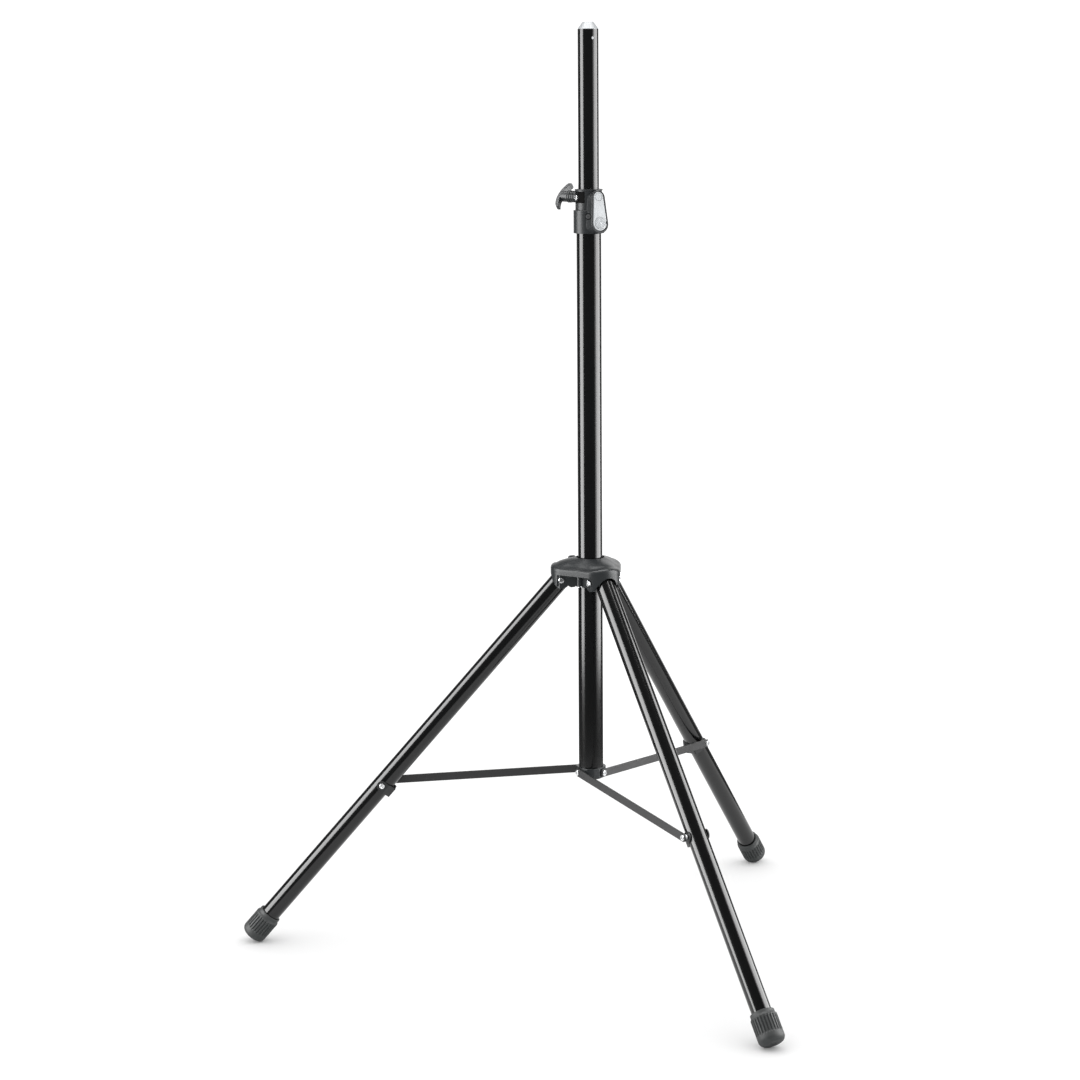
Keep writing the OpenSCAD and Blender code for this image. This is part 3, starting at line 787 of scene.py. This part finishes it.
class STAND_OT_safety_lever(Operator):
    """Builds the safety lever and its thumb button"""
    bl_idname = "stand.safety_lever"
    bl_label = "Safety lever"

    def execute(self, context):
        plate = soften(
            teardrop(LEVER_LOW_R, 0, LEVER_TOP_R, LEVER_SPAN, -LEVER_HALF, LEVER_HALF), 1.0, 4)
        lug = soften(rod(-LEVER_HALF - 2, 0, 6), 0.6)
        eye = placed(rod(-3.4, 3.4, 3.4, sides=48), turn(math.pi / 2, "Y"),
                     shift(0, LEVER_SPAN, LEVER_PIN_IN))
        plate = fused(plate, lug, eye)
        seat = rod(BUTTON_FLOOR, 10, BUTTON_R + 0.7)
        groove = placed(ring(5.8, 7.0, LEVER_HALF - 1.0, 9), shift(0, LEVER_SPAN))
        dimple = placed(rod(LEVER_HALF - 0.3, 9, 2.1, 2.6, 48), shift(0, LEVER_SPAN))
        pin_way = placed(rod(-20, 20, 2.1, sides=48), turn(math.pi / 2, "Y"),
                         shift(0, LEVER_SPAN, LEVER_PIN_IN))
        notch = placed(rod(0, 9, 2.2, sides=48), shift(12.2, 0.5))
        coils = [
            brick((side * 5.3 - SPRING_WIDTH / 2, LEVER_SPAN - 3.2, -9),
                  (side * 5.3 + SPRING_WIDTH / 2, LEVER_SPAN + 3.2, 0.9))
            for side in (-1, 1)]
        plate = carved(plate, seat, groove, dimple, pin_way, notch, *coils)
        piece("lever_plate", placed(plate, ON_LEVER), FINISHES["lever_plastic"],
              "lever", ["safety_lever"])
        self.button()
        finish_node("lock_pin")
        return {"FINISHED"}

    def button(self):
        """A round button with ring grooves."""
        top = BUTTON_FLOOR + 2.6
        outline = [(0, BUTTON_FLOOR), (BUTTON_R, BUTTON_FLOOR), (BUTTON_R, top - 0.5)]
        for outer in (8.4, 6.0, 3.6):
            floor = top - 0.8
            outline += [(outer, top), (outer - 0.3, floor), (outer - 1.0, floor), (outer - 1.3, top)]
        outline += [(0, top)]
        shape = placed(soften(turned(outline), 0.15, 2, 20), ON_LEVER)
        piece("thumb_button", shape, FINISHES["lever_plastic"],
              "lever", ["lever_button"])


# ---------------------------------------------------------------- wing knobs

CLAMP_KNOB_BASE = 34
HUB_KNOB_BASE = 53
KNOB_HEIGHT = 24


class STAND_OT_wing_knobs(Operator):
    """Builds the clamp knob and the hub knob, each a ribbed barrel with a bowed wing"""
    bl_idname = "stand.wing_knobs"
    bl_label = "Wing knobs"

    wing_half: length_setting("Wing", "Half the wing's length", 28)
    wing_side: length_setting("Wing side", "Half the wing's width", 6)
    wing_depth: length_setting("Wing depth", "Thickness of the wing", 6.5)
    bow: length_setting("Bow", "Radius of the wing's bow", 55)

    def execute(self, context):
        turned_knob = radial(CLAMP_AZ, CLAMP_Z) @ turn(math.radians(50), "Z")
        self.knob("clamp_wing", CLAMP_KNOB_BASE, turned_knob, "clamp_knob")
        self.knob("hub_wing", HUB_KNOB_BASE, radial(HUB_KNOB_AZ, PIVOT_Z), "hub_knob")
        for name in ("clamp_screw", "hub_screw", "hub_insert"):
            finish_node(name)
        return {"FINISHED"}

    def wing(self, top):
        """A bar with rounded corners, bent back towards its ends."""
        length = self.wing_half
        bar = brick((-self.wing_side, -length, -self.wing_depth), (self.wing_side, length, 0))
        corners = [e for e in bar.edges if abs(e.verts[0].co.z - e.verts[1].co.z) > 1]
        bmesh.ops.bevel(
            bar, geom=corners, offset=3, offset_type="OFFSET", segments=6, profile=0.5,
            affect="EDGES", clamp_overlap=True, material=-1)
        soften(bar, 1.3, 4)
        for i in range(1, 24):
            bmesh.ops.bisect_plane(
                bar, geom=bar.verts[:] + bar.edges[:] + bar.faces[:], dist=MM,
                plane_co=(0, -length + i * length / 12, 0), plane_no=(0, 1, 0))
        for vert in bar.verts:
            vert.co.z += top - self.bow + math.sqrt(self.bow ** 2 - vert.co.y ** 2)
        return bar

    def knob(self, name, base, place, frame_node):
        """A knob from its barrel's base to the top of its wing, which rides on the body of its name."""
        top = base + KNOB_HEIGHT
        neck = top - self.wing_depth + 1
        barrel = soften(turned([
            (0, base + 7), (3, base + 7), (3, base), (10.3, base), (10.3, base + 2.2), (9.4, base + 2.2),
            (9.4, base + 3.4), (10.3, base + 3.4), (10.3, base + 5.6), (9.4, base + 5.6),
            (9.2, base + 7), (8.9, neck), (0, neck)]), 0.35)
        piece(name, placed(fused(self.wing(top), barrel), place), FINISHES["knob_plastic"],
              frame_node, [frame_node])


# ---------------------------------------------------------------- hub

LOBE_AT = 32.0
LOBE_R = 36.0
COVER_WALL = 2.6
NECK_R = 24.3
CHEEK_IN = 19.5
CHEEK_OUT = 27.0
CHEEK_R = 15.0
HUB_LOW = PIVOT_Z - 14
COVER_SIDES = 360
ROLL_LESS = 3.5
VALLEY_DEPTH = 0.8
VALLEY_BACK = 10
VALLEY_WIDTH = 3.0
ARCH_R = LEG_R + 0.8


def from_lobe(angle):
    """How far an azimuth is from the middle of the nearest lobe."""
    return min((math.remainder(angle - LEG_AZ[k], math.tau) for k in LEGS), key=abs)


def cover_reach(angle):
    """Distance from the mast's axis to the cover's edge: round lobes joined by straight sides."""
    off = abs(from_lobe(angle))
    side = LOBE_AT / 2 + LOBE_R
    round_end = LOBE_AT * math.cos(off) + math.sqrt(LOBE_R ** 2 - (LOBE_AT * math.sin(off)) ** 2)
    touch = math.pi / 3 - math.atan2(LOBE_AT * math.sin(math.pi / 3), side)
    return round_end if off < touch else side / math.cos(math.pi / 3 - off)


def saddle(angle):
    """0 over a leg, 1 midway between two legs."""
    return 1 - math.cos(1.5 * from_lobe(angle)) ** 4


def cover_foot(angle):
    """Height of the cover's lower edge: it hangs down beside each leg and arches over it."""
    reach = cover_reach(angle)
    for k in LEGS:
        off = angle - LEG_AZ[k]
        x, y = reach * math.cos(off), abs(reach * math.sin(off))
        if x > PIVOT_R and y < CHEEK_OUT:
            if y < ARCH_R:
                return RIM_Z - ARCH_R + math.sqrt(ARCH_R ** 2 - y ** 2)
            return PIVOT_Z - math.sqrt(max(0.0, CHEEK_R ** 2 - (x - PIVOT_R) ** 2)) + 1
    return RIM_Z


class STAND_OT_hub_cover(Operator):
    """Builds the hub's three-lobed cover with its rolled rim, saddles and leg arches, and its neck ring"""
    bl_idname = "stand.hub_cover"
    bl_label = "Hub cover"

    def execute(self, context):
        sizes = context.scene.stand_sizes
        rolls = [math.radians(90 * i / 7) for i in range(8)]
        levels = [("foot", 0.0)] + [("wall", i / 4) for i in range(1, 4)]
        levels += [("roll", a) for a in rolls] + [("top", (i / 16) ** 0.8) for i in range(1, 17)]
        inner = [("under", i / 10) for i in range(10, -1, -1)] + [("inside", 1.0), ("inside", 0.0)]
        shape = bmesh.new()
        loop = bmesh.ops.create_circle(shape, cap_ends=False, radius=1, segments=COVER_SIDES)["verts"]
        self.settle(loop, *levels[0], sizes)
        for kind, share in levels[1:] + inner:
            edges = [e for e in shape.edges if e.verts[0] in set(loop) and e.verts[1] in set(loop)]
            grown = bmesh.ops.extrude_edge_only(shape, edges=edges)["geom"]
            loop = [item for item in grown if isinstance(item, bmesh.types.BMVert)]
            self.settle(loop, kind, share, sizes)
        rims = [e for e in shape.edges if e.is_boundary]
        bmesh.ops.bridge_loops(shape, edges=rims)
        bmesh.ops.recalc_face_normals(shape, faces=shape.faces)
        piece("hub_shell", soften(shape, 0.5, 2, 55), FINISHES["housing_plastic"],
              "hub", ["hub_cover"], 40)
        neck = soften(ring(MAST_R + 0.6, NECK_R - 0.1, RIM_Z - 4, COVER_TOP - 3), 0.5)
        piece("hub_neck", neck, FINISHES["bush_plastic"], "hub")
        finish_node("hub_cover_screws")
        return {"FINISHED"}

    def settle(self, loop, kind, share, sizes):
        """Puts a loop of the cover's skin at its place in the section."""
        for vert in loop:
            angle = math.atan2(vert.co.y, vert.co.x)
            reach, between = cover_reach(angle), saddle(angle)
            roll = sizes.rim_roll - ROLL_LESS * between
            edge_top = self.top(reach - roll, reach, between, sizes)
            foot = cover_foot(angle)
            if kind == "foot":
                out, z = reach, foot
            elif kind == "wall":
                out, z = reach, foot + (edge_top - roll - foot) * share
            elif kind == "roll":
                out = reach - roll + roll * math.cos(share)
                z = edge_top - roll + roll * math.sin(share)
            elif kind == "top":
                out = reach - roll + (NECK_R - reach + roll) * share
                z = self.top(out, reach, between, sizes)
            elif kind == "under":
                out = reach - COVER_WALL - 1 + (NECK_R - reach + COVER_WALL + 1) * share
                z = self.top(max(out, NECK_R), reach, between, sizes) - COVER_WALL - roll * (1 - share) ** 6
            else:
                out, z = reach - COVER_WALL, foot + (edge_top - roll - foot) * share
            vert.co = (out * math.cos(angle), out * math.sin(angle), z)

    def top(self, out, reach, between, sizes):
        """Height of the cover's top: a dome with saddles between the legs and a valley behind the rim."""
        share = max(0.0, (out - NECK_R) / (reach - NECK_R))
        dome = COVER_TOP + (MAST_R ** 2 / 2 / sizes.dome) - sizes.dome + math.sqrt(sizes.dome ** 2 - out ** 2)
        behind_rim = (reach - out - VALLEY_BACK) / VALLEY_WIDTH
        return dome - between * sizes.scoop * share - VALLEY_DEPTH * math.exp(-behind_rim ** 2)


class STAND_OT_hub_body(Operator):
    """Builds the hub's body: sleeve, cheek plates, screw posts and the knob's boss"""
    bl_idname = "stand.hub_body"
    bl_label = "Hub body"

    def execute(self, context):
        edge = context.scene.stand_sizes.edge
        sleeve = soften(ring(22.6, 26.5, HUB_LOW, RIM_Z), edge * 0.6)
        cheeks = [self.cheek(k, side) for k in LEGS for side in (-1, 1)]
        boss = placed(soften(ring(5, 8, 24, 52, 64), 0.5), radial(HUB_KNOB_AZ, PIVOT_Z))
        whole = fused(sleeve, *cheeks, boss, *self.posts())
        piece("hub_frame", whole, FINISHES["housing_plastic"], "hub", ["hub_body"])
        finish_node("hub_bush")
        return {"FINISHED"}

    def posts(self):
        return [placed(soften(ring(2, 5, PIVOT_Z - 10, RIM_Z - 0.2, 48), 0.4), shift(34, 0, 0),
                       turn(math.radians(angle), "Z")) for angle in (0, 240)]

    def cheek(self, k, side):
        """A cheek plate with a round end, cut to stay inside the cover's lobe."""
        near, far = sorted((side * CHEEK_IN, side * CHEEK_OUT))
        place = shift(PIVOT_R, 0, PIVOT_Z) @ along_y(near)
        round_end = placed(rod(0, far - near, CHEEK_R), place)
        arm = brick((14, near, PIVOT_Z - 10), (PIVOT_R, far, PIVOT_Z + 9))
        plate = cut_flat(fused(round_end, arm), (0, 0, RIM_Z - 0.1), (0, 0, 1))
        keep = placed(rod(PIVOT_Z - 30, PIVOT_Z + 30, LOBE_R - COVER_WALL - 0.2), shift(LOBE_AT))
        plate = soften(combined("INTERSECT", plate, [keep]), 0.6, 3, 40)
        spacer = placed(rod(0, CHEEK_IN + 1 - LEG_R - 0.5, 8, sides=64),
                        shift(PIVOT_R, 0, PIVOT_Z) @ along_y(LEG_R + 0.5 if side > 0 else -CHEEK_IN - 1))
        return placed(merged(plate, spacer), turn(LEG_AZ[k], "Z"))


# ---------------------------------------------------------------- fasteners

def dome_head(radius, height, hollow=0.0, sides=64):
    """A rivet's or bolt's head on +Z, domed, with a hollow if it has one."""
    rise = height * 0.55
    crown = arc(radius - rise, height - rise, rise, 0, 75, 4)
    if hollow:
        return turned([(0, 0), (radius, 0)] + crown + [
            (hollow + 0.4, height), (hollow, height - 0.5), (hollow, height * 0.2), (0, height * 0.2)], sides)
    return turned([(0, 0), (radius, 0)] + crown + [(0, height)], sides)


class STAND_OT_fasteners(Operator):
    """Builds the pivot bolts and nuts, and the rivets of the struts, brackets and collar"""
    bl_idname = "stand.fasteners"
    bl_label = "Fasteners"

    def execute(self, context):
        self.pivot_bolts()
        rivets = []
        for k in LEGS:
            place = turn(LEG_AZ[k], "Z") @ shift(0, 0, STRUT_Z)
            shank = placed(rod(-0.5, 11, 3, sides=48), place @ along_y(-STRUT_OUT - 0.3))
            head = placed(dome_head(5, 2, 1.6), place @ along_y(-STRUT_OUT - 0.3) @ turn(math.pi, "X"))
            rivets += [shank, head]
            self.bracket_rivet(k)
            self.strut_rivet(k)
        self.make("collar_rivet_set", merged(*rivets), "mast", "collar_rivets")
        return {"FINISHED"}

    def make(self, name, shape, body, frame_node):
        piece(name, shape, FINISHES["zinc_steel"], body, [frame_node])

    def pivot_bolts(self):
        bolts, nuts = [], []
        for k in LEGS:
            place = turn(LEG_AZ[k], "Z") @ shift(PIVOT_R, 0, PIVOT_Z)
            socket = rod(1.5, 6, 2.5, sides=6)
            head = carved(dome_head(5, 3.5), socket)
            shank = soften(rod(-2 * CHEEK_OUT - 5, 0.5, 3, sides=48), 0.5)
            bolts += [placed(head, place @ along_y(CHEEK_OUT)), placed(shank, place @ along_y(CHEEK_OUT))]
            nut = carved(soften(rod(0, 4.5, 5.6, sides=6), 0.5), rod(-1, 6, 3.05, sides=48))
            nuts.append(placed(nut, place @ along_y(-CHEEK_OUT - 4.5)))
        self.make("pivot_bolt_set", merged(*bolts), "hub", "hub_bolts")
        self.make("pivot_nut_set", merged(*nuts), "hub", "hub_nuts")

    def bracket_rivet(self, k):
        place = along_leg(k, BRACKET_AT)
        side = LEG_R + 2
        shank = placed(rod(-side, side + 0.2, 3, sides=48), turn(-math.pi / 2, "X"))
        head = placed(dome_head(4.5, 1.5, 2.0), along_y(side))
        self.make(f"hollow_rivet_{k}", placed(merged(shank, head), place), f"leg_{k}", f"bracket_rivet_{k}")

    def strut_rivet(self, k):
        place = along_strut(k, STRUT_LEN)
        inner = STRUT_OUT - STRUT_THICK
        spacer = placed(soften(rod(0, inner - LEG_R - 2.3, 5, sides=64), 0.4), along_y(-inner))
        shank = placed(rod(0, STRUT_THICK, 3, sides=48), along_y(-STRUT_OUT))
        head = placed(dome_head(5, 2, 1.4), along_y(-STRUT_OUT) @ turn(math.pi, "X"))
        shape = placed(merged(spacer, shank, head), place)
        self.make(f"strut_end_rivet_{k}", shape, f"strut_{k}", f"strut_rivet_{k}")


# ---------------------------------------------------------------- legs

CAP_R = 22.0
CAP_RIM_R = 20.0
CAP_ROUND = 10.0
CAP_LEN = 53.6
# the rounded sole touches the floor, which places it along the leg
SOLE_DROP = PIVOT_Z - CAP_ROUND - (CAP_R - CAP_ROUND) * math.sin(LEG_ANGLE)
CAP_RIM = SOLE_DROP / math.cos(LEG_ANGLE) + CAP_ROUND - CAP_LEN
LEG_END = CAP_RIM + CAP_LEN
BRACKET_HALF = 9.0
BRACKET_GAP = 0.05
BRACKET_WALL = 1.95


class STAND_OT_legs(Operator):
    """Builds the leg tubes and their brackets"""
    bl_idname = "stand.legs"
    bl_label = "Legs"

    cap_overlap: length_setting("Cap overlap", "Distance between a leg's end and the sole", 10)

    def execute(self, context):
        edge = context.scene.stand_sizes.tube_edge
        for k in LEGS:
            drill = placed(rod(-30, 30, 3.3, sides=48), turn(math.pi / 2, "X"))
            leg = carved(tube(LEG_R, LEG_WALL, -LEG_OVER, LEG_END - self.cap_overlap, edge), drill)
            piece(f"leg_{k}_tube", placed(leg, along_leg(k)), FINISHES["tube_paint"],
                  f"leg_{k}", [f"leg_tube_{k}"])
            piece(f"bracket_{k}", placed(self.bracket(), along_leg(k, BRACKET_AT)), FINISHES["bracket_paint"],
                  f"leg_{k}", [f"leg_bracket_{k}"])
            finish_node(f"leg_plug_{k}")
        return {"FINISHED"}

    def bracket(self):
        """A saddle bent round the leg's inner side, with a round cheek at each end of the rivet."""
        near, half = LEG_R + BRACKET_GAP, BRACKET_HALF
        out = near + BRACKET_WALL
        band = cut_flat(ring(near, out, -half, half), (0, 0, 0), (-1, 0, 0))
        cheeks = []
        for start in (near, -out):
            disc = placed(rod(0, BRACKET_WALL, half), along_y(start))
            foot = brick((0, start, -half), (half, start + BRACKET_WALL, half))
            cheeks.append(fused(disc, foot))
        web = brick((20, -11, -half), (22, 11, half))
        flanks = [
            hulled(brick((20, side * 9 - 2, -half), (22, side * 9 + 2, half)),
                   brick((8, side * (LEG_R + 1) - 0.9, -half), (9, side * (LEG_R + 1) + 0.9, half)))
            for side in (-1, 1)]
        return fused(band, *cheeks, soften(web, 0.5), *flanks)


# ---------------------------------------------------------------- feet

class STAND_OT_foot_caps(Operator):
    """Builds the fluted rubber foot caps"""
    bl_idname = "stand.foot_caps"
    bl_label = "Foot caps"

    def execute(self, context):
        for k in LEGS:
            shape = placed(self.cap(context.scene.stand_sizes), along_leg(k, CAP_RIM))
            piece(f"rubber_foot_{k}", shape, FINISHES["foot_rubber"],
                  f"leg_{k}", [f"foot_cap_{k}"])
        return {"FINISHED"}

    def cap(self, sizes):
        """A cup from its rim at 0 to its sole, spun, then fluted between the rim's band and the sole."""
        straight = [9 + i * 1.25 for i in range(26)]
        sole = arc(CAP_R - CAP_ROUND, CAP_LEN - CAP_ROUND, CAP_ROUND, 0, 90, 12)
        outline = [(0, CAP_LEN - 10), (LEG_R, CAP_LEN - 10), (LEG_R, 0.8), (LEG_R + 0.8, 0)]
        outline += [(CAP_RIM_R - 1, 0)]
        outline += arc(CAP_RIM_R - 1, 1, 1, -60, 0, 3) + [(CAP_RIM_R, 5), (CAP_RIM_R + 0.6, 6.6)]
        outline += [(CAP_R - 0.3, 8)] + [(CAP_R, z) for z in straight] + sole + [(6, CAP_LEN)]
        outline += [(5, CAP_LEN - 0.8), (0, CAP_LEN - 0.8)]
        cap = turned(outline, sizes.flutes * 10)
        start, end, fade = 10.0, 38.0, 2.2
        for vert in cap.verts:
            radius = math.hypot(vert.co.x, vert.co.y)
            if radius < CAP_R - 0.2:
                continue
            wave = math.cos(math.atan2(vert.co.y, vert.co.x) * sizes.flutes)
            within = min(1.0, max(0.0, (vert.co.z - start) / fade), max(0.0, (end - vert.co.z) / fade))
            depth = sizes.flute_depth * max(0.0, wave + 0.15) ** 0.6 * math.sqrt(within)
            vert.co.x *= 1 - depth / radius
            vert.co.y *= 1 - depth / radius
        return cap


# ---------------------------------------------------------------- struts

class STAND_OT_struts(Operator):
    """Builds the flat struts"""
    bl_idname = "stand.struts"
    bl_label = "Struts"

    width: length_setting("Width", "Width of a strut", 14)

    def execute(self, context):
        for k in LEGS:
            ends = [
                placed(rod(0, STRUT_THICK, self.width / 2, sides=64), along_y(-STRUT_OUT), shift(0, 0, reach))
                for reach in (0, STRUT_LEN)]
            bar = soften(hulled(*ends), 0.6, 3)
            piece(f"strut_bar_{k}", placed(bar, along_strut(k)), FINISHES["strut_paint"],
                  f"strut_{k}", [f"strut_{k}"])
        return {"FINISHED"}


class STAND_OT_bottom_collar(Operator):
    """Builds the bottom collar with its flats, and finishes the mast's end plug"""
    bl_idname = "stand.bottom_collar"
    bl_label = "Bottom collar"

    radius: length_setting("Radius", "Largest radius of the collar", 26.3)
    cut: length_setting("Cut", "Distance of the six clearance flats from the axis", 25.2)
    flat: length_setting("Flat", "Distance of the strut flats from the axis", 23.2)

    def execute(self, context):
        base, top = low("bottom_collar").z, high("bottom_collar").z
        collar = rod(base, top, self.radius, sides=120)
        flats = [(math.radians(60 * i), self.cut) for i in range(6)]
        flats += [(LEG_AZ[k] - math.pi / 2, self.flat) for k in LEGS]
        for angle, away in flats:
            outwards = Vector((math.cos(angle), math.sin(angle), 0))
            cut_flat(collar, outwards * away, outwards)
        collar = carved(soften(collar, 0.9, 3, 18), rod(MAST_LOW, top + 5, MAST_R))
        piece("collar_ring", collar, FINISHES["housing_plastic"],
              "mast", ["bottom_collar"])
        for name in ("mast_end_plug", "pole_bush"):
            finish_node(name)
        return {"FINISHED"}


# ---------------------------------------------------------------- add-on

OPERATORS = (
    STAND_OT_studio, STAND_OT_mast_and_pole, STAND_OT_pole_plug, STAND_OT_clamp_housing,
    STAND_OT_safety_lever, STAND_OT_wing_knobs, STAND_OT_hub_cover, STAND_OT_hub_body,
    STAND_OT_fasteners, STAND_OT_legs, STAND_OT_foot_caps, STAND_OT_struts, STAND_OT_bottom_collar)
SETTINGS = {"stand_paints": StandPaints, "stand_sizes": StandSizes, "stand_studio": StandStudio}


class STAND_PT_panel(Panel):
    """Lists the stand's pieces in the sidebar"""
    bl_idname = "STAND_PT_panel"
    bl_label = "Speaker Tripod Stand"
    bl_space_type = "VIEW_3D"
    bl_region_type = "UI"
    bl_category = "Stand"

    def draw(self, context):
        for operator in OPERATORS:
            self.layout.operator(operator.bl_idname)


def register():
    for group in (*SETTINGS.values(), *OPERATORS, STAND_PT_panel):
        bpy.utils.register_class(group)
    for name, group in SETTINGS.items():
        setattr(bpy.types.Scene, name, PointerProperty(type=group))


def unregister():
    for name in SETTINGS:
        delattr(bpy.types.Scene, name)
    for group in (STAND_PT_panel, *reversed(OPERATORS), *SETTINGS.values()):
        bpy.utils.unregister_class(group)


def main():
    register()
    make_finishes()
    for operator in OPERATORS:
        group, name = operator.bl_idname.split(".")
        getattr(getattr(bpy.ops, group), name)()


if __name__ == "__main__":
    main()
